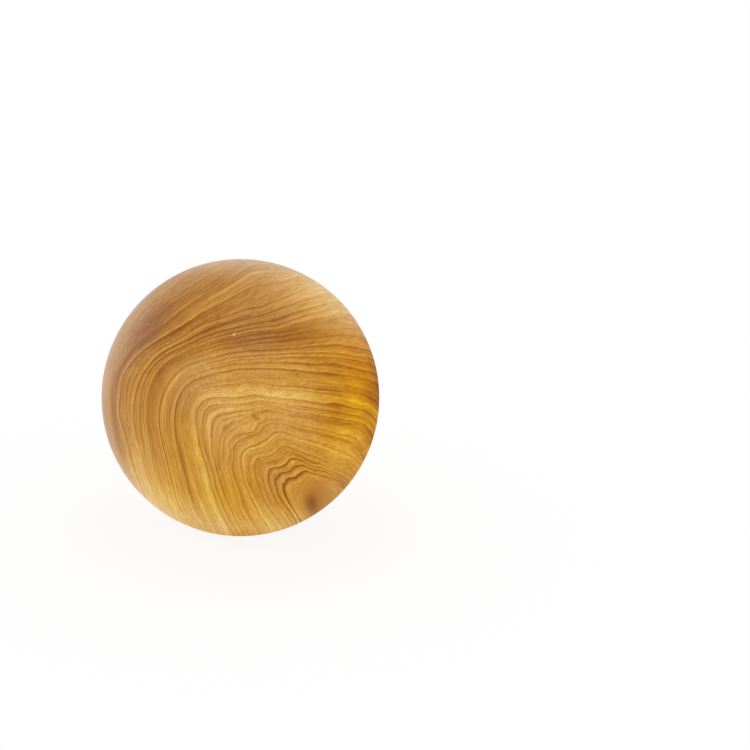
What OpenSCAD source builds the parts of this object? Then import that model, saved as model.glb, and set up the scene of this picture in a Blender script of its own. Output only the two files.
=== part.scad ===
// Turned wooden ball: one solid piece of conifer wood, cut beside the heart of the stem,
// turned round, sanded and waxed. It has no bore, flat or insert.
// Millimetres, +Z up. The origin is the centre of the ball.

/* [Ball] */
// Diameter of the finished ball
ball_d = 50; // [20:1:120]

/* [Hidden] */

// Golden tan of the waxed wood
wood_colour = [0.80, 0.58, 0.30];
// Facets round the ball in a preview; the built solid is a true sphere
ball_facets = 180;

// The whole ball, a full sphere about the origin.
module ball() {
    color(wood_colour)
        sphere(d = ball_d, $fn = ball_facets);
}

ball();
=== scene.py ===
import math

import bpy
import numpy as np
from mathutils import Matrix, Vector


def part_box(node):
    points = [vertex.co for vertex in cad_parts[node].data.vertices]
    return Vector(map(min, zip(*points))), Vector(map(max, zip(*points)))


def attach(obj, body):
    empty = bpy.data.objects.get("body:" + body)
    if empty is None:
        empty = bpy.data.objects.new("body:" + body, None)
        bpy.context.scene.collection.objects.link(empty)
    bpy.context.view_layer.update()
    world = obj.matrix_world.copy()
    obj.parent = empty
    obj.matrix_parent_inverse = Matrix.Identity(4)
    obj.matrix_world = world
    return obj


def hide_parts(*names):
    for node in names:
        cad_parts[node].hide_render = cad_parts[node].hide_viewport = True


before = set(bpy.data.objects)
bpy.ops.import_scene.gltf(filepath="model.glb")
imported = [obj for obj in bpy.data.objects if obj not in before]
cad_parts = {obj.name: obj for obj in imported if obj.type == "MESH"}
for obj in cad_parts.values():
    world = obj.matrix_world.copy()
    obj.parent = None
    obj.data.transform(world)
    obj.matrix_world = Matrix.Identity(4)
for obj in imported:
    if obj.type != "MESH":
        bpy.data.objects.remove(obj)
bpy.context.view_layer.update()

# ---------------------------------------------------------------------------
# The ball: one solid turning of conifer wood, cut so that the heart of the
# stem comes out low on the right of its face. It is turned round, sanded and
# waxed, and it has no bore, flat or insert.
# ---------------------------------------------------------------------------

box_low, box_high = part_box("ball")
BALL_RADIUS = (box_high.x - box_low.x) / 2
CELLS_PER_EDGE = 96
HAND_UNEVENNESS = 0.00004


def cube_shell(cells):
    """Six square sheets of unit directions that close into one shell, with tiles for a flat map.

    On each sheet the parameters a and b run from -1 to 1. The point (tan(a pi/4), tan(b pi/4), 1)
    is turned to the sheet's own side of a cube and divided by its length, which gives cells of
    nearly one size. Points with the same lattice place on two sheets are one vertex."""
    steps = np.arange(cells + 1)
    i, j = np.meshgrid(steps, steps, indexing="ij")
    a, b = 2 * i / cells - 1, 2 * j / cells - 1
    lattice, quads, tiles = [], [], []
    sheet = np.arange((cells + 1) ** 2).reshape(cells + 1, cells + 1)
    corners = np.stack((sheet[:-1, :-1], sheet[1:, :-1], sheet[1:, 1:], sheet[:-1, 1:]), -1)
    for side in range(6):
        axis, high = side % 3, side < 3
        place = np.empty((cells + 1, cells + 1, 3))
        place[..., axis] = 1 if high else -1
        place[..., (axis + 1) % 3] = a
        place[..., (axis + 2) % 3] = b
        lattice.append(place.reshape(-1, 3))
        turned = corners if high else corners[..., ::-1]
        quads.append(turned.reshape(-1, 4) + side * sheet.size)
        margin = 0.01
        s = (side % 3 + margin + (1 - 2 * margin) * (a + 1) / 2) / 3
        t = (side // 3 + margin + (1 - 2 * margin) * (b + 1) / 2) / 2
        tiles.append(np.stack((s, t), -1).reshape(-1, 2))
    lattice, quads, tiles = np.concatenate(lattice), np.concatenate(quads), np.concatenate(tiles)
    keys = np.rint((lattice + 1) * cells / 2).astype(int) @ [(cells + 1) ** 2, cells + 1, 1]
    first, shared = np.unique(keys, return_index=True, return_inverse=True)[1:]
    bent = np.tan(lattice[first] * math.pi / 4)
    directions = bent / np.linalg.norm(bent, axis=1, keepdims=True)
    return directions, shared[quads], tiles[quads]


def out_of_round(directions):
    """How far hand sanding leaves the surface under the true sphere, from 0 to 1.

    Three slow waves along slanting directions are multiplied and shifted to lie between 0 and 1."""
    x, y, z = directions.T
    return 0.5 + 0.5 * np.sin(3.1 * x + 1.7 * z + 0.4) * np.sin(2.3 * y - 2.9 * x) * np.cos(3.7 * z - y)


def make_mesh(name, points, quads, tiles):
    """A smooth mesh of quads with its own flat map."""
    mesh = bpy.data.meshes.new(name)
    mesh.from_pydata(points.tolist(), [], quads.tolist())
    chart = mesh.uv_layers.new(name="OFBake")
    chart.data.foreach_set("uv", tiles.reshape(-1))
    mesh.shade_smooth()
    mesh.validate()
    piece = bpy.data.objects.new(name, mesh)
    bpy.context.scene.collection.objects.link(piece)
    return piece


directions, quads, tiles = cube_shell(CELLS_PER_EDGE)
radii = BALL_RADIUS - HAND_UNEVENNESS * out_of_round(directions)
turned_ball = make_mesh("turned_ball", directions * radii[:, None], quads, tiles)


class Wire:
    """One socket of a shader. Arithmetic on wires adds the Math nodes that work it out."""

    def __init__(self, tree, socket=None):
        self.tree = tree
        self.socket = socket

    def add(self, kind, settings=None, inputs=None, output=0):
        """Adds a node: first its settings, then the value or wire of each socket."""
        node = self.tree.nodes.new("ShaderNode" + kind)
        for name, value in (settings or {}).items():
            if name == "stops":
                set_stops(node.color_ramp, value)
            elif name == "points":
                set_points(node.mapping, value)
            else:
                setattr(node, name, value)
        for name, value in (inputs or {}).items():
            if isinstance(value, Wire):
                self.tree.links.new(value.socket, node.inputs[name])
            else:
                node.inputs[name].default_value = value
        return Wire(self.tree, node.outputs[output] if node.outputs else None)

    def math(self, operation, *values):
        return self.add("Math", {"operation": operation}, dict(enumerate(values)))

    def __add__(self, other):
        return self.math("ADD", self, other)

    def __sub__(self, other):
        return self.math("SUBTRACT", self, other)

    def __rsub__(self, other):
        return self.math("SUBTRACT", other, self)

    def __mul__(self, other):
        return self.math("MULTIPLY", self, other)

    def __truediv__(self, other):
        return self.math("DIVIDE", self, other)

    def __rtruediv__(self, other):
        return self.math("DIVIDE", other, self)

    def __pow__(self, other):
        return self.math("POWER", self, other)

    def __neg__(self):
        return self.math("MULTIPLY", self, -1.0)

    __radd__ = __add__
    __rmul__ = __mul__

    def exp(self):
        return self.math("EXPONENT", self)

    def above(self, floor):
        return self.math("MAXIMUM", self, floor)

    def step(self, start, end):
        """0 below start, 1 above end, and a smooth S between them."""
        limits = {"Value": self, "From Min": start, "From Max": end}
        return self.add("MapRange", {"interpolation_type": "SMOOTHSTEP"}, limits)

    def vector(self, operation, other, output="Vector"):
        return self.add("VectorMath", {"operation": operation}, {0: self, 1: other}, output)


def set_stops(ramp, stops):
    """Fills a colour ramp from a list of (place, colour)."""
    while len(ramp.elements) > 1:
        ramp.elements.remove(ramp.elements[0])
    for count, (place, colour) in enumerate(stops):
        stop = ramp.elements[0] if count == 0 else ramp.elements.new(place)
        stop.position = place
        stop.color = (*colour, 1)


def set_points(mapping, points):
    """Fills a float curve with straight runs between a list of (place, height)."""
    curve = mapping.curves[0]
    for place, height in points[1:-1]:
        curve.points.new(place, height)
    for point, (place, height) in zip(curve.points, points):
        point.location = (place, height)
        point.handle_type = "VECTOR"
    mapping.update()


MM = 1000.0
RADIUS_MM = BALL_RADIUS * MM

# The stem lay front to back, rising to the front. HEART is a point on its centre line.
GRAIN_RISE = 27.3
GRAIN_SWING = -3.2
HEART = Vector((0.522, -0.619, -0.587)) * RADIUS_MM


def unit(azimuth, elevation):
    """The direction at these angles in degrees; azimuth 0 is -Y and 90 is +X."""
    a, e = math.radians(azimuth), math.radians(elevation)
    return Vector((math.sin(a) * math.cos(e), -math.cos(a) * math.cos(e), math.sin(e)))


grain = unit(GRAIN_SWING, GRAIN_RISE)
upward = grain.cross(Vector((1, 0, 0))).normalized()
sideways = upward.cross(grain)

wood = bpy.data.materials.new("waxed_conifer_wood")
wood.use_nodes = True
tree = wood.node_tree
tree.nodes.clear()
start = Wire(tree)
place = start.add("TexCoord", output="Object")
spot = start.add("VectorMath", {"operation": "SCALE"}, {0: place, "Scale": MM})
from_heart = spot.vector("SUBTRACT", HEART)
u = from_heart.vector("DOT_PRODUCT", sideways, "Value")
v = from_heart.vector("DOT_PRODUCT", upward, "Value")
w = from_heart.vector("DOT_PRODUCT", grain, "Value")
end_grain = start.add("CombineXYZ", {}, {"X": u, "Y": v})


def hill(plane, x, x_reach, y, y_reach):
    """1 at the place (x, y) of a plane and fading to 0 around it: e to the power of minus
    ((X - x) / x_reach) squared minus ((Y - y) / y_reach) squared."""
    size = (1 / x_reach, 1 / y_reach, 0)
    centre = (-x / x_reach, -y / y_reach, 0)
    away = start.add("VectorMath", {"operation": "MULTIPLY_ADD"}, {0: plane, 1: size, 2: centre})
    return start.math("POWER", math.exp(-1), away.vector("DOT_PRODUCT", away, "Value"))


# The tree's growth at a place is a soft maximum of three: the same all round the young stem, and
# more on its left and top flanks, which makes the rings egg shaped. The numbers of the flanks were
# fitted to the rings of one ball and rounded.
SOFTNESS = 3
EVEN_GROWTH = 0.6
BUNCHING = 1.9
left_flank = -0.78 * u - 0.67 * v - 0.008 * u * v + 0.0137 * u * u
top_flank = 1.14 * v + 0.61 * u - 0.029 * u * v - 0.008 * v * v
reach = (u * u + v * v + 0.01) ** 0.5
bunched = (1 - top_flank.step(6.3, 8.3)) * (u / reach).step(-0.5, -0.25)
top_flank = top_flank - BUNCHING * bunched
growth = (EVEN_GROWTH * reach) ** SOFTNESS + left_flank.above(0) ** SOFTNESS
growth = (growth + top_flank.above(0) ** SOFTNESS) ** (1 / SOFTNESS)


def towards(angle, tightness):
    """1 in one compass direction round the heart, and fading to both sides of it."""
    a = math.radians(angle)
    along = (u * math.cos(a) + v * math.sin(a)) / reach
    return ((along - 1) * tightness).exp()


# A ridge and a furrow, as under a fold of the bark, run up from the heart and die out
YOUNG_REACH = 14
RIDGE, FURROW = 0.10, 0.09
young = 1 / (1 + (reach / YOUNG_REACH) ** 4)
growth = growth * (1 - RIDGE * young * towards(116, 90) + FURROW * young * towards(133, 50))

# Other places where the rings are pushed out or drawn in: where across the stem and how far it
# reaches, where up the stem and how far, and how much growth is gained
SWELLINGS = [
    (-18.3, 3.5, 16.3, 3.5, -0.7), (-14.4, 3.5, 11.6, 3.5, 0.9), (3.6, 8.0, 25.0, 2.5, 0.7),
    (-21.8, 3.0, 20.5, 3.0, -0.5), (4.2, 5.0, 11.0, 3.0, -0.5), (6.5, 3.5, 5.5, 3.0, -2.0),
    (-24.0, 4.0, 28.5, 3.0, 1.5), (-5.5, 2.5, -3.0, 2.5, 0.8),
]
for *middle, gain in SWELLINGS:
    growth = growth + gain * hill(end_grain, *middle)
# Far out on the top flank the rings are wider again, most of all towards the left
CROWN_START = 31
growth = growth - 0.4 * (v - CROWN_START).above(0) * (1 - 0.65 * u.step(-12, -4))

# Folds: where along the growth, how far it reaches, at what compass angle round the heart, how
# many degrees it reaches, and how much growth is gained. They run from the heart outward.
FOLDS = [
    (4.1, 0.5, 125, 25, 0.13), (4.5, 1.2, 146, 5, 0.25), (5.7, 1, 97, 13, 0.35),
    (5.7, 0.9, 136, 9, 0.15), (5.8, 1.5, 94, 16, 0.85), (8.6, 0.5, 117, 6, 0.2), (9, 4, 120, 5, -0.4),
    (10, 3.5, 137, 7, 0.75), (10.2, 1, 200, 6, 0.3), (10.3, 0.5, 166, 9, -0.2),
    (10.5, 3, 92, 18, -0.35), (10.6, 0.5, 145, 4, 0.1), (11.5, 3, 172, 20, 0.3), (12, 1, 152, 6, 0.25),
    (12.1, 0.5, 136, 12, 0.2), (12.2, 1.2, 131, 4, 0.5), (12.2, 1.5, 152, 4, 0.5),
    (12.6, 0.8, 182, 7, -0.15), (12.7, 1, 135, 9, 0.35), (13.5, 0.4, 134, 4, -0.3),
    (13.8, 1.2, 186, 14, -0.7), (14.6, 0.5, 137, 9, 0.15), (16.5, 4, 58, 13, -1.35),
    (17, 0.5, 172, 20, -0.2), (17.1, 0.35, 151, 5, -0.35), (17.1, 0.4, 186, 10, -0.2),
    (17.7, 2, 164, 6, 0.45), (17.8, 0.4, 80, 8, 0.2), (17.8, 0.5, 92, 16, 0.2),
    (17.9, 0.6, 113, 5, 0.35), (18, 3, 108, 8, 0.35), (18, 3.5, 139, 9, -0.8), (18.5, 3, 78, 6, -0.3),
    (22, 5, 121, 3, -0.35), (22.9, 0.7, 78, 6, 0.3), (23.15, 0.4, 119, 8, -0.15),
    (23.3, 2, 90, 10, 0.5), (23.4, 2, 128, 5, -0.35), (23.4, 1, 183, 8, -0.4), (24.1, 0.8, 71, 8, 0.4),
    (24.35, 0.3, 119, 4, 0.15), (24.4, 1.2, 176, 10, -0.5), (24.9, 0.8, 108, 9, 0.2),
    (25.2, 1.2, 139, 9, 0.2), (25.4, 1.3, 84, 15, -0.5), (26, 2, 142, 8, 0.3),
    (26.6, 0.7, 103, 12, 0.35), (26.6, 1, 178, 9, -0.35), (26.7, 1, 73, 6, 0.45),
    (27.5, 2, 178, 7, -0.5), (30.6, 1.5, 102, 4, 0.35), (30.7, 1.2, 88, 8, -0.3),
    (31.8, 1.8, 170, 9, -1), (32.5, 0.6, 137, 5, 0.18), (33.3, 1.5, 140, 5, 0.3),
    (34.3, 1.5, 105, 4, 0.5), (34.3, 2, 157, 8, -0.8), (34.5, 0.6, 137, 5, 0.38),
    (35, 0.6, 123, 5, -0.4), (36.9, 0.5, 137, 5, 0.12), (37.3, 1.8, 136, 3, 0.5),
    (37.8, 1.8, 145, 4, -0.5), (38, 2, 130, 4, -0.4), (38, 2, 167, 6, -0.6), (38.8, 2, 156, 5, -1.6),
    (38.9, 3, 148.5, 5, -1.2), (39.4, 0.6, 129, 10, 0.3),
]
angle = u.math("ARCTAN2", -u, v) * math.degrees(1) + 90
smooth_rings = start.add("CombineXYZ", {}, {"X": growth, "Y": angle})
for *middle, gain in FOLDS:
    growth = growth + gain * hill(smooth_rings, *middle)


def noise(scale, stretch, detail=2.0, roughness=0.5):
    """Cloudy noise round zero, drawn out along the grain; scale is in waves for each mm."""
    grain_space = start.add("CombineXYZ", {}, {"X": u, "Y": v, "Z": w / stretch})
    sockets = {"Vector": grain_space, "Scale": scale, "Detail": detail, "Roughness": roughness}
    return start.add("TexNoise", {}, sockets) - 0.5


growth = growth + 0.15 * noise(0.5, 8) + 0.12 * noise(1.0, 8)
rings = start.add("CombineXYZ", {}, {"X": growth, "Y": angle})
around = angle * reach * math.radians(1)


def lines(scale, drift):
    """Fine noise across the rings that changes slowly along them."""
    ring_space = start.add("CombineXYZ", {}, {"X": growth * scale, "Y": around * drift, "Z": w * drift / 3})
    return start.add("TexNoise", {}, {"Vector": ring_space, "Scale": 1.0, "Detail": 2.0}) - 0.5


# Each year of growth: how wide its ring is, the tone of its dark late wood and the tone of its
# pale early wood, from dark 0 to pale 1
YEARS = [
    (2.20, 0.50, 0.42), (1.10, 0.55, 0.50), (1.10, 0.10, 0.60), (1.05, 0.14, 0.55), (1.00, 0.21, 0.52),
    (0.95, 0.36, 0.60), (1.15, 0.43, 0.53), (1.05, 0.50, 0.62), (0.55, 0.57, 0.62), (0.65, 0.44, 0.78),
    (1.90, 0.44, 0.62), (0.65, 0.48, 0.59), (1.55, 0.48, 0.62), (0.90, 0.38, 0.58), (1.10, 0.44, 0.66),
    (1.20, 0.40, 0.66), (1.70, 0.68, 0.79), (0.80, 0.47, 0.66), (0.75, 0.50, 0.54), (1.80, 0.28, 0.58),
    (1.30, 0.37, 0.62), (0.75, 0.38, 0.56), (0.65, 0.38, 0.56), (1.10, 0.26, 0.62), (1.05, 0.34, 0.58),
    (0.80, 0.29, 0.43), (1.00, 0.26, 0.42), (0.40, 0.28, 0.38), (0.85, 0.28, 0.56), (0.85, 0.26, 0.50),
    (1.35, 0.20, 0.50), (1.40, 0.32, 0.58), (0.90, 0.34, 0.48), (1.30, 0.22, 0.40), (1.50, 0.32, 0.50),
    (1.10, 0.30, 0.38), (1.20, 0.25, 0.42), (1.60, 0.26, 0.34), (1.00, 0.27, 0.38), (1.30, 0.28, 0.36),
    (1.95, 0.28, 0.36),
]
COUNT = len(YEARS)
widths = np.array([row[0] for row in YEARS])
ends = np.concatenate(([0], np.cumsum(widths)))
FULL_GROWTH = ends[-1]
CONTRAST = 1.15


def curve(value, points):
    """The height at a value, on straight runs between a list of (place, height)."""
    return start.add("FloatCurve", {"points": points}, {"Value": value})


age = curve(growth / FULL_GROWTH, [(end / FULL_GROWTH, k / COUNT) for k, end in enumerate(ends)]) * COUNT
season = age.math("FRACT", age)
year = (age - season + 0.5) / COUNT
late_tone = curve(year, [((k + 0.5) / COUNT, row[1]) for k, row in enumerate(YEARS)])
early_tone = curve(year, [((k + 0.5) / COUNT, row[2]) for k, row in enumerate(YEARS)])

# How far the wood has darkened from early to late through one year
LATE_WOOD = [
    (0, 0.35), (0.08, 0), (0.2, 0.05), (0.45, 0.28), (0.7, 0.42), (0.82, 0.85), (0.9, 1), (0.96, 0.9),
    (1, 0.35),
]
late = 1.4 * curve(season, LATE_WOOD) - 0.12


def patch(azimuth, elevation, size):
    """1 at a place on the surface, given in degrees, and 0 further than size in mm from it."""
    away = spot.vector("DISTANCE", unit(azimuth, elevation) * RADIUS_MM, "Value")
    return away.step(size, 0)


middle_tone = (late_tone + early_tone) / 2
uneven = CONTRAST * (1 + 1.2 * lines(0.7, 0.08)) * (1 - 0.5 * hill(rings, 27.5, 4, 132, 14))
uneven = uneven * (1 - 0.8 * hill(rings, 6.7, 1.3, 184, 13)) * (1 - 0.9 * hill(rings, 4.8, 1.7, 50, 16))

# Places where the rings grow faint: where, how far it reaches in mm, and how faint
FAINT = [(-48, -50, 15, 0.7), (85, 52, 14, 0.6), (-95, 5, 10, 0.5), (48, -28, 9, 0.6)]
for azimuth, elevation, size, amount in FAINT:
    uneven = uneven * (1 - amount * patch(azimuth, elevation, size))
tone = middle_tone + (early_tone - late_tone) * (0.5 - late) * uneven
tone = tone + 0.35 * lines(2.2, 0.12) * growth.step(1, 4) + 0.15 * noise(0.6, 8)

# Stretches where a ring is darker or paler for part of its way round, set one by one for the
# figure of this ball: places and reaches as for the folds, and how much paler
STREAKS = [
    (3, 0.3, 141, 10, 0.12), (3.6, 0.8, 45, 14, 0.12), (3.7, 0.4, 92, 10, 0.15),
    (4.05, 0.2, 148, 24, -0.22), (4.15, 0.2, 112, 8, -0.14), (4.2, 0.22, 88, 22, 0.28),
    (4.45, 0.12, 145, 45, -0.2), (4.55, 0.2, 124, 10, -0.08), (4.9, 0.2, 122, 8, 0.14),
    (4.9, 0.15, 145, 6, 0.12), (5.12, 0.15, 145, 22, -0.1), (5.2, 0.3, 166, 10, 0.08),
    (5.9, 0.25, 121, 8, 0.08), (5.95, 0.25, 119, 9, 0.22), (5.95, 0.12, 145, 6, 0.14),
    (6.05, 0.2, 124, 6, 0.12), (6.12, 0.12, 135, 18, -0.08), (6.15, 0.15, 172, 8, 0.12),
    (6.2, 0.3, 190, 8, 0.12), (6.6, 0.2, 158, 8, -0.17), (6.7, 0.2, 118, 8, 0.1),
    (7.05, 0.3, 108, 8, -0.18), (7.1, 0.25, 172, 8, 0.18), (7.2, 0.4, 190, 8, 0.1),
    (8.6, 0.15, 100, 9, 0.12), (8.62, 0.15, 120, 4, 0.14), (8.7, 0.2, 130, 20, 0.05),
    (8.9, 0.5, 172, 8, -0.12), (9.1, 0.15, 131, 4, -0.12), (9.15, 0.12, 88, 6, -0.14),
    (9.3, 0.15, 80, 6, -0.12), (9.55, 0.15, 141, 4, 0.1), (9.85, 0.3, 166, 11, -0.2),
    (10.2, 0.2, 166, 10, -0.1), (10.35, 0.2, 138, 6, 0.1), (10.65, 0.2, 135, 20, -0.1),
    (11, 0.25, 145, 4, 0.14), (11.05, 0.15, 140, 10, 0.12), (12.45, 0.15, 70, 8, -0.12),
    (12.45, 0.2, 145, 6, 0.08), (12.5, 0.2, 97, 7, 0.06), (12.5, 0.2, 130, 15, -0.13),
    (12.9, 0.3, 50, 5, -0.1), (12.95, 0.2, 120, 7, -0.08), (12.97, 0.1, 134, 7, -0.12),
    (13.15, 0.1, 134, 7, 0.1), (13.15, 0.1, 146, 4, -0.1), (13.2, 0.12, 70, 8, -0.1),
    (13.2, 0.12, 125, 4, -0.12), (13.2, 0.2, 134, 8, -0.16), (13.35, 0.12, 141, 4, -0.12),
    (13.45, 0.12, 137, 3, -0.1), (13.45, 0.2, 146, 4, 0.1), (13.5, 0.15, 97, 7, 0.06),
    (13.5, 0.2, 162, 5, 0.09), (13.55, 0.12, 97, 7, 0.1), (13.55, 0.2, 131, 6, 0.14),
    (13.58, 0.12, 120, 4, -0.12), (13.7, 0.3, 50, 6, -0.08), (13.75, 0.2, 149.5, 4, -0.1),
    (13.95, 0.12, 141, 9, -0.12), (13.95, 0.12, 155, 4, -0.2), (14.05, 0.15, 139, 6, -0.15),
    (14.15, 0.2, 97, 7, 0.06), (14.2, 0.25, 97, 7, 0.1), (14.2, 0.12, 148, 8, 0.1),
    (14.3, 0.6, 125.5, 1.3, -0.4), (14.4, 0.15, 149.5, 4, -0.13), (14.45, 0.2, 162, 5, 0.14),
    (14.5, 0.2, 137, 4, 0.08), (14.5, 0.15, 138, 8, -0.14), (14.65, 0.15, 143, 6, 0.08),
    (14.7, 0.12, 140, 3, -0.15), (14.75, 0.12, 140, 4, -0.07), (14.75, 0.15, 149.5, 4, 0.18),
    (14.82, 0.12, 132, 4, 0.16), (14.85, 0.15, 148, 8, 0.12), (14.9, 0.2, 118, 5, -0.15),
    (14.9, 0.15, 162, 5, -0.1), (14.95, 0.15, 136, 7, 0.12), (14.95, 0.15, 143, 6, 0.1),
    (15, 0.2, 120, 4, -0.18), (15.05, 0.2, 97, 6, -0.1), (15.05, 0.1, 132, 4, -0.12),
    (15.1, 0.25, 80, 22, -0.22), (15.15, 0.2, 68, 8, -0.14), (15.15, 0.12, 137, 10, -0.14),
    (15.15, 0.12, 145, 4, -0.09), (15.35, 0.12, 136, 6, 0.1), (15.35, 0.12, 140, 14, 0.08),
    (15.38, 0.15, 132, 4, 0.18), (15.5, 0.25, 155, 4, 0.13), (15.6, 1.2, 50, 7, -0.25),
    (15.6, 0.2, 142, 10, -0.15), (15.62, 0.25, 122, 5, 0.16), (15.65, 0.2, 100, 16, 0.09),
    (15.65, 0.12, 146, 4, -0.1), (15.85, 0.15, 162, 5, -0.16), (15.95, 0.2, 175, 20, -0.12),
    (16.05, 0.25, 72, 12, -0.12), (16.1, 0.3, 150, 10, 0.05), (16.15, 0.4, 108, 12, -0.16),
    (16.2, 0.2, 131, 5, 0.1), (16.25, 0.2, 120, 4, -0.16), (16.25, 0.15, 132, 6, 0.1),
    (16.35, 0.15, 140, 4, -0.12), (16.38, 0.12, 136, 12, -0.15), (16.4, 0.3, 58, 6, 0.12),
    (16.58, 0.1, 138, 8, 0.12), (16.6, 0.2, 162, 5, 0.12), (16.65, 0.12, 90, 4, -0.15),
    (16.75, 0.2, 130, 8, 0.1), (16.8, 0.15, 141, 5, -0.17), (16.85, 0.2, 108, 9, 0.16),
    (16.9, 0.15, 157, 8, -0.14), (17.05, 0.2, 94, 13, 0.11), (17.05, 0.2, 180, 18, -0.1),
    (17.25, 0.3, 102, 6, 0.11), (17.5, 0.3, 125, 4, 0.12), (17.6, 0.2, 118, 5, -0.14),
    (17.7, 0.2, 79, 4, -0.14), (17.95, 0.2, 108, 7, 0.16), (18.05, 0.2, 71, 6, 0.12),
    (18.35, 0.2, 60, 6, -0.18), (18.35, 0.25, 180, 18, -0.08), (18.4, 0.3, 145, 10, -0.12),
    (18.45, 0.2, 69, 5, -0.14), (18.5, 0.25, 58, 4, -0.18), (18.9, 0.4, 166, 9, 0.1),
    (19.05, 0.2, 105, 4, 0.14), (19.1, 0.35, 66, 9, 0.14), (19.1, 0.35, 180, 16, 0.12),
    (19.2, 0.2, 124, 5, 0.1), (19.25, 0.2, 84, 7, -0.16), (19.4, 0.35, 64, 4, 0.12),
    (19.4, 0.12, 82, 8, -0.1), (19.4, 0.12, 92, 14, -0.15), (19.4, 0.15, 106, 6, -0.12),
    (19.4, 0.2, 114, 5, -0.1), (19.7, 0.12, 96, 14, 0.1), (19.8, 0.6, 70, 6, 0.1),
    (19.93, 0.12, 84, 4, -0.2), (19.95, 0.12, 95, 4, -0.14), (20, 0.2, 86, 14, -0.12),
    (20, 0.2, 100, 20, -0.3), (20, 0.25, 178, 16, -0.1), (20.2, 0.3, 61, 4, -0.2),
    (20.2, 0.8, 140, 13, -0.14), (20.25, 0.18, 121, 7, -0.17), (20.4, 0.2, 68, 5, -0.12),
    (20.5, 0.25, 182, 12, 0.1), (20.6, 0.25, 88, 12, 0.1), (20.7, 0.3, 77, 6, 0.12),
    (21.1, 0.25, 99.5, 4, 0.14), (21.2, 1.3, 60, 7, -0.16), (21.3, 0.2, 80, 5, 0.14),
    (21.35, 0.18, 78, 12, 0.13), (21.35, 0.25, 106, 5, -0.13), (21.45, 0.25, 128, 7, -0.16),
    (21.6, 0.25, 106, 12, -0.2), (21.65, 0.12, 80, 5, -0.14), (22, 0.25, 101, 6, -0.12),
    (22.2, 0.5, 70, 5, 0.12), (22.4, 0.25, 103, 12, 0.1), (22.5, 0.25, 123, 9, 0.12),
    (22.65, 0.2, 84, 4, -0.13), (22.9, 0.3, 82, 6, -0.12), (22.9, 0.3, 152, 18, -0.1),
    (22.9, 0.3, 186, 8, 0.15), (22.95, 0.25, 98, 6, 0.1), (22.95, 0.2, 150, 6, 0.1),
    (23, 0.3, 73, 9, 0.18), (23.05, 0.25, 71, 7, 0.16), (23.3, 0.25, 168, 18, -0.2),
    (23.4, 0.4, 70, 6, -0.12), (23.4, 0.25, 72, 6, -0.12), (23.45, 0.15, 93, 5, 0.13),
    (23.6, 0.2, 124, 8, 0.06), (23.7, 0.15, 89, 4, -0.13), (23.95, 0.2, 165, 15, 0.1),
    (24.12, 0.15, 102, 8, -0.12), (24.2, 0.2, 90, 12, -0.1), (24.6, 0.15, 92, 14, 0.08),
    (24.6, 0.2, 166, 9, -0.12), (24.8, 0.2, 85, 6, -0.12), (25, 0.15, 90, 14, -0.08),
    (25.25, 0.15, 114, 6, 0.14), (25.3, 0.15, 90, 14, 0.08), (25.35, 0.2, 122, 6, 0.08),
    (25.35, 0.2, 166, 9, -0.1), (25.7, 0.15, 115, 12, -0.1), (26, 0.25, 142, 8, 0.18),
    (26.1, 0.25, 158, 13, -0.12), (26.2, 0.2, 112, 18, 0.1), (26.45, 0.25, 107, 6, -0.16),
    (26.6, 0.2, 111, 8, -0.12), (26.8, 0.3, 155, 20, -0.08), (26.85, 0.15, 98, 10, 0.13),
    (26.85, 0.2, 150, 6, 0.07), (27.05, 0.25, 125, 4, 0.15), (27.2, 0.12, 100, 10, -0.1),
    (27.2, 0.3, 105, 14, -0.08), (27.25, 0.12, 90, 5, -0.18), (27.3, 0.25, 105, 8, -0.1),
    (27.45, 0.15, 97, 6, 0.12), (27.75, 0.25, 137, 4, 0.09), (28.5, 0.2, 120, 7, 0.1),
    (28.5, 0.2, 124, 8, 0.12), (28.6, 0.25, 110, 8, -0.15), (28.62, 0.15, 104, 7, -0.14),
    (28.7, 1.6, 183, 10, 0.14), (28.95, 0.2, 128, 12, -0.1), (29.1, 0.2, 105, 9, 0.08),
    (29.2, 1, 137, 10, -0.14), (29.3, 0.2, 122, 9, 0.1), (29.35, 0.12, 97, 6, -0.08),
    (29.5, 0.2, 110, 7, -0.13), (29.5, 2, 113, 7, -0.06), (29.7, 0.2, 94, 8, 0.22),
    (29.7, 0.3, 168, 14, 0.12), (30.05, 0.15, 157, 4, -0.1), (30.1, 0.3, 136, 8, -0.1),
    (30.6, 0.25, 100, 13, 0.16), (30.8, 0.15, 113, 10, -0.2), (31, 0.2, 90, 6, 0.1),
    (31.05, 0.25, 160, 9, 0.14), (31.25, 0.2, 130, 5, -0.14), (31.4, 0.2, 125, 5, -0.1),
    (31.7, 0.15, 110, 6, -0.12), (31.75, 0.3, 135, 13, -0.2), (31.85, 0.2, 116, 8, -0.08),
    (31.9, 0.25, 104, 7, -0.06), (32.1, 0.15, 102, 5, -0.2), (32.7, 0.3, 160, 9, 0.08),
    (32.85, 0.15, 127, 7, -0.12), (33.1, 0.2, 104, 7, 0.08), (33.1, 0.3, 124, 9, -0.15),
    (33.1, 0.25, 143, 5, -0.1), (33.2, 0.25, 167, 6, 0.1), (33.45, 0.22, 113, 14, -0.18),
    (33.6, 0.3, 112, 14, -0.18), (33.7, 0.2, 165, 10, -0.1), (33.95, 0.3, 157, 5, 0.1),
    (34.1, 0.3, 123, 9, 0.16), (34.15, 0.2, 108, 16, 0.06), (34.2, 0.25, 163, 9, 0.08),
    (34.35, 0.15, 104, 6, -0.12), (34.9, 0.25, 120, 5, -0.15), (35, 1.3, 165, 8, 0.1),
    (35.4, 0.4, 122, 5, 0.14), (35.85, 0.3, 98, 7, -0.12), (36.5, 0.35, 131, 6, -0.18),
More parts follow.
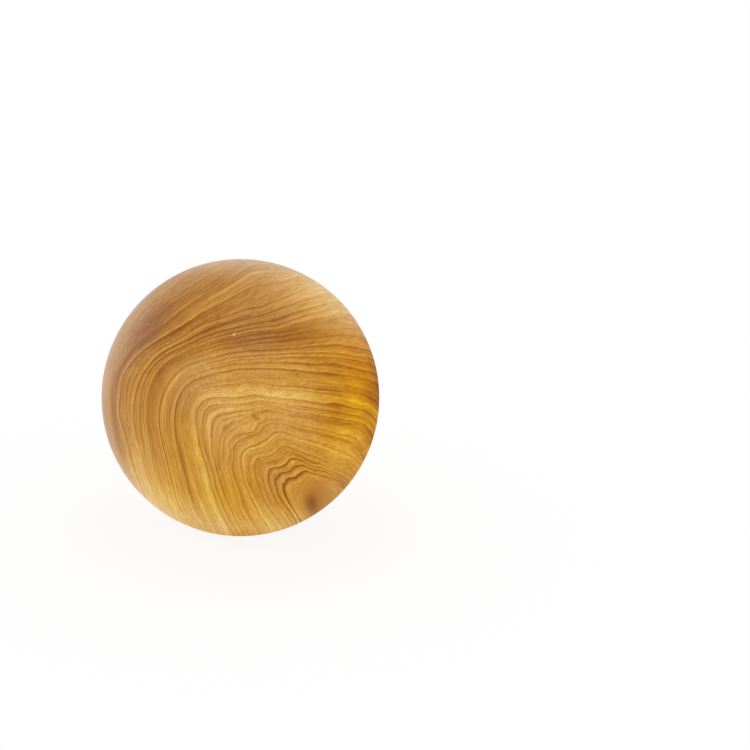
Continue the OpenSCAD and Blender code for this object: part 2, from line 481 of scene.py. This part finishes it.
    (36.6, 0.4, 100, 9, 0.12), (36.65, 0.3, 121, 5, 0.14), (37, 0.2, 102, 4, -0.14),
    (37.2, 0.15, 108, 4, -0.18), (37.2, 0.2, 130, 16, 0.2), (37.35, 0.12, 113, 4, -0.12),
    (37.6, 0.15, 114, 4, 0.12), (37.75, 0.15, 108, 4, -0.12), (37.85, 0.12, 114, 4, -0.12),
    (37.95, 0.2, 130, 4, 0.12), (38.15, 0.2, 110, 7, 0.16), (38.2, 0.3, 114, 16, 0.25),
    (38.2, 0.5, 146, 7, -0.14), (38.55, 0.3, 136, 4, -0.18), (38.6, 0.25, 137, 4, -0.12),
    (38.9, 0.4, 143, 5, -0.22), (39.1, 0.3, 143, 5, -0.08), (39.6, 0.2, 124, 5, 0.12),
    (39.6, 0.2, 127, 6, 0.12), (39.8, 1.2, 158, 9, -0.2), (40.3, 0.15, 127, 5, 0.16),
    (40.4, 0.5, 106, 6, 0.1), (40.85, 0.15, 127, 6, -0.08), (41.05, 0.2, 125, 7, -0.14),
    (41.1, 0.2, 126, 8, -0.1), (41.75, 0.3, 114, 5, 0.12), (41.8, 0.25, 123, 8, 0.1),
    (42, 2.5, 143, 5, 0.08), (42.5, 1, 155, 8, 0.12), (44, 1.5, 112, 6, 0.14),
]
tone = tone + sum(gain * hill(rings, *middle) for *middle, gain in STREAKS)

# The wood is a little darker round the heart
tone = tone - 0.12 * hill(end_grain, 0.4, 2.4, 2.0, 2.4)

# Paler and darker zones: where on the surface, how far it reaches in mm, and how much paler. The pale
# ones at the rims, at the upper right, on top and low on the left, are painted light where light washes the
# rims.
ZONES_AND_PAINTED_RIM_LIGHT = [
    (-57, 41, 9, -0.3), (-38, 47, 8, -0.08), (-20, 50, 8, -0.06), (2, 48, 9, -0.09), (18, 43, 7, -0.1),
    (34, 43, 8, -0.11), (85, 52, 16, 0.38), (68, 64, 12, 0.1), (180, 88, 9, 0.15), (-58, -46, 16, 0.44),
    (-46, -18, 12, 0.2), (-38, -31, 12, 0.12), (-10, -45, 15, 0.14), (25, -46, 12, 0.2),
    (-6, 15, 9, 0.11), (16, 19, 7, 0.12), (-18, 28, 8, 0.03), (-23, 19, 7, -0.1), (42, 14, 6, -0.16),
    (57, 8, 8, -0.1), (-65, 22, 9, -0.1), (19, 33, 6, 0.08), (50, -3, 8, 0.14), (38, -17, 8, 0.1),
    (-106, 48, 9, -0.16), (-81, 50, 9, 0.05), (-12, 43, 7, -0.05), (8, 44, 7, -0.05), (55, 13, 5, 0.12),
    (-76, 17, 10, 0.08), (-33, 60, 8, -0.06), (47, -33, 7, -0.06), (14, -13, 5, 0.05),
    (-22, 5, 6, -0.05), (-20, 33, 8, 0.04), (84, 8, 9, -0.2),
]
tone = tone + sum(gain * patch(azimuth, elevation, size) for azimuth, elevation, size, gain in ZONES_AND_PAINTED_RIM_LIGHT)

# The colour of each tone, from the darkest late wood to the palest early wood
TONES = [
    (0.00, (0.25, 0.070, 0.000)),
    (0.15, (0.34, 0.116, 0.002)),
    (0.35, (0.46, 0.192, 0.014)),
    (0.55, (0.57, 0.268, 0.038)),
    (0.75, (0.69, 0.368, 0.064)),
    (1.00, (0.80, 0.520, 0.140)),
]
colour = start.add("ValToRGB", {"stops": TONES}, {"Fac": tone})


def tint(colour, amount, mode, other):
    """Mixes another colour into the wood by an amount that may change over the surface."""
    sockets = {0: amount, 6: colour, 7: (*other, 1)}
    return start.add("Mix", {"data_type": "RGBA", "blend_type": mode}, sockets, 2)


# The wood on the right is orange, partly its own colour and partly painted reflection, orange light thrown
# back onto that side. The darker band round the side is painted shade and painted reflection. The third
# tint is painted shade: a small brown spot low in front, at the bottom edge near the floor.
colour = tint(colour, patch(62, 12, 24), "MULTIPLY", (1.0, 0.93, 0.10))
colour = tint(colour, patch(66, 21, 12), "MULTIPLY", (0.97, 0.84, 0.10))
colour = tint(colour, patch(2, -57, 6), "MULTIPLY", (0.85, 0.78, 0.30))
colour = tint(colour, patch(98, 3, 17), "MULTIPLY", (0.72, 0.56, 0.20))

# Clear yellow wood low on the left and in front
YELLOW = [(-20, 2, 8), (-28, -28, 12), (-2, -17, 7), (-8, -28, 8), (72, 28, 10), (-25, -12, 9)]
for azimuth, elevation, size in YELLOW:
    colour = tint(colour, patch(azimuth, elevation, size), "MULTIPLY", (1.0, 1.0, 0.65))

# Greyer, pinker or paler washes towards the left, on top, above the wide pale ring and at the lower
# edges: where, how far it reaches in mm, how much, and its colour. The grey and pale ones at the rims, on
# the left, on top, at the upper right and at the lower edges, are painted sheen, light glancing off the
# rims. The pinkish ones and the others inside the face are the wood's own colour.
GREY = (0.55, 0.42, 0.28)
PINKISH = (0.64, 0.34, 0.15)
PALE = (0.72, 0.50, 0.25)
TINTS_AND_PAINTED_SHEEN = [
    (-80, 32, 14, 0.24, GREY), (150, 82, 14, 0.25, GREY), (40, 62, 9, 0.12, PALE),
    (-20, 24, 8, 0.10, GREY), (75, 50, 10, 0.25, PALE), (-20, -43, 10, 0.30, PALE),
    (28, -50, 9, 0.20, PALE), (49, -31, 9, 0.12, PALE), (-90, 10, 12, 0.15, PALE),
    (2, 53, 9, 0.12, PINKISH), (-9, 10, 8, 0.18, PINKISH), (22, 12, 9, 0.20, PINKISH),
    (8, 37, 7, 0.10, PINKISH), (14, -14, 6, 0.10, PINKISH), (-58, 40, 9, 0.10, PINKISH),
]
for azimuth, elevation, size, amount, wash_colour in TINTS_AND_PAINTED_SHEEN:
    colour = tint(colour, amount * patch(azimuth, elevation, size), "MIX", wash_colour)

# A soft stain above the pith, and then the dark pith itself
colour = tint(colour, 0.50 * hill(end_grain, 0.9, 1.5, 2.9, 1.3), "MIX", (0.46, 0.17, 0.045))
colour = tint(colour, 0.90 * hill(end_grain, -0.6, 1.3, 0.2, 1.7), "MIX", (0.25, 0.07, 0.010))

# Small marks: a chip and a short scratch that show dry wood, and a dark pin hole
colour = tint(colour, 0.6 * patch(-4, 45, 0.4), "MIX", (0.85, 0.58, 0.35))
slanting = start.add("CombineXYZ", {}, {"X": u + v, "Y": u - v})
colour = tint(colour, 0.3 * hill(slanting, 4.3, 0.25, -40.5, 1.2), "MIX", (0.80, 0.60, 0.35))
colour = tint(colour, 0.6 * patch(25, 27, 0.6), "MIX", (0.30, 0.12, 0.02))

# Fibre ends and the finest lines, which lighten and darken the wood, and its blue most of all
fleck = (0.30 * lines(4.2, 0.3) + 0.55 * lines(2.6, 1.2)) * growth.step(1, 4) + 0.26 * noise(3.0, 10, 3, 0.7)
grit = start.add("CombineXYZ", {}, {"X": 1 + 1.15 * fleck, "Y": 1 + 1.55 * fleck, "Z": 1 + 4 * fleck})
colour = colour.vector("MULTIPLY", grit).vector("MAXIMUM", (0, 0, 0))


# The wax is a thin coat, thinner and duller low on the right and thinner over the orange
WAX = 0.36
SANDED, BARE = 0.35, 0.85
low_right = spot.vector("DOT_PRODUCT", unit(60, -40), "Value") / RADIUS_MM
worn = low_right.step(0.1, 0.7)
wax = WAX * (1 - 0.9 * worn) * (1 - 0.95 * patch(80, 14, 30))
roughness = SANDED + (BARE - SANDED) * worn

shader = {
    "Base Color": colour, "Roughness": roughness, "Specular IOR Level": 0.08,
    "Coat Weight": wax, "Coat Roughness": 0.3}
surface = start.add("BsdfPrincipled", {}, shader)
start.add("OutputMaterial", {}, {"Surface": surface})
turned_ball.data.materials.append(wood)

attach(turned_ball, "root")
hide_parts("ball")

# ---------------------------------------------------------------------------
# The floor: one plain white sheet under the ball, wide enough to reach out of
# sight. It isn't part of the object.
# ---------------------------------------------------------------------------

FLOOR_HALF = 40 * BALL_RADIUS
floor_mesh = bpy.data.meshes.new("white_sheet")
flat = np.array([(-1, -1), (1, -1), (1, 1), (-1, 1)]) * FLOOR_HALF
floor_points = np.column_stack((flat, np.full(4, box_low.z)))
floor_mesh.from_pydata(floor_points.tolist(), [], [(0, 1, 2, 3)])
white_sheet = bpy.data.objects.new("white_sheet", floor_mesh)
bpy.context.scene.collection.objects.link(white_sheet)
paper = bpy.data.materials.new("white_paper")
paper.use_nodes = True
paper_tree = paper.node_tree
paper_tree.nodes.clear()
sheet = Wire(paper_tree)
dull = sheet.add("BsdfPrincipled", {}, {
    "Base Color": (0.12, 0.12, 0.12, 1), "Roughness": 1.0, "Specular IOR Level": 0.0,
    "Emission Color": (1, 1, 1, 1), "Emission Strength": 0.88})
sheet.add("OutputMaterial", {}, {"Surface": dull})
floor_mesh.materials.append(paper)

# ---------------------------------------------------------------------------
# The light: a white tent all round the ball and the sheet, equally bright on
# every side, so that a colour looks as it is written.
# ---------------------------------------------------------------------------

world = bpy.data.worlds.new("white_tent")
bpy.context.scene.world = world
world.use_nodes = True
world_tree = world.node_tree
world_tree.nodes.clear()
tent = Wire(world_tree)
glow = tent.add("Background", {}, {"Color": (1, 1, 1, 1), "Strength": 1.0})
tent.add("OutputWorld", {}, {"Surface": glow})
bpy.context.scene.view_settings.view_transform = "Standard"

# ---------------------------------------------------------------------------
# The camera: a little above the ball and in front of it, aimed to the right
# of it and slightly over it.
# ---------------------------------------------------------------------------

CAMERA_RISE = 20.0
CAMERA_AWAY = 13 * BALL_RADIUS
LENS = 86.0
AIM_RIGHT = 4.27
AIM_UP = 0.72

toward_camera = unit(0, CAMERA_RISE)
camera_up = unit(0, CAMERA_RISE + 90)
camera_right = camera_up.cross(toward_camera)
aside = camera_right * math.tan(math.radians(AIM_RIGHT)) + camera_up * math.tan(math.radians(AIM_UP))
back = (toward_camera - aside).normalized()
right = camera_up.cross(back).normalized()
camera_data = bpy.data.cameras.new("camera")
camera_data.lens = LENS
camera = bpy.data.objects.new("camera", camera_data)
bpy.context.scene.collection.objects.link(camera)
camera.location = toward_camera * CAMERA_AWAY
camera.rotation_mode = "QUATERNION"
camera.rotation_quaternion = Matrix((right, back.cross(right), back)).transposed().to_quaternion()
bpy.context.scene.camera = camera
